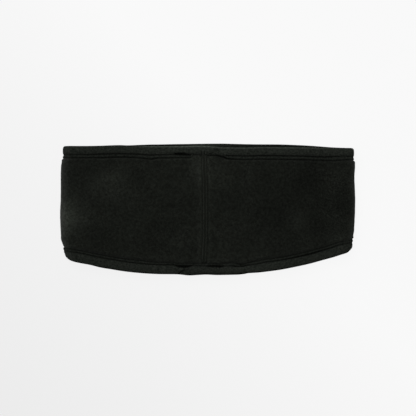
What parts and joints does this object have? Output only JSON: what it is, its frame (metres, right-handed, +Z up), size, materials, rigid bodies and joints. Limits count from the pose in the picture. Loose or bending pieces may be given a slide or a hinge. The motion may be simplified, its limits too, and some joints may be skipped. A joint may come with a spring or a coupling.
{
  "type": "fleece headband",
  "caption": "Wide ring of black brushed fleece with a stretch binding along each edge and a flat stitched seam, lying flat; it is pulled over the head to cover the ears and forehead.",
  "frame": {"origin": "on the surface that the headband lies on, under the middle of its box", "axes": "+X along the flat width from the left fold to the right fold, +Y up the height of the band towards the straighter top edge, +Z up through the two layers; the layer with the seam is on top"},
  "size_m": [0.256, 0.114, 0.0163],
  "materials": {
    "fleece": "matt black brushed fleece with a short nap",
    "binding": "black stretch knit, slightly shiny, with twin rows of stitches",
    "seam": "black flat seam covered with thread"
  },
  "bodies": {
    "root": {"fleece_band": "fleece", "top_binding": "binding", "bottom_binding": "binding", "centre_seam": "seam"}
  },
  "joints": []
}
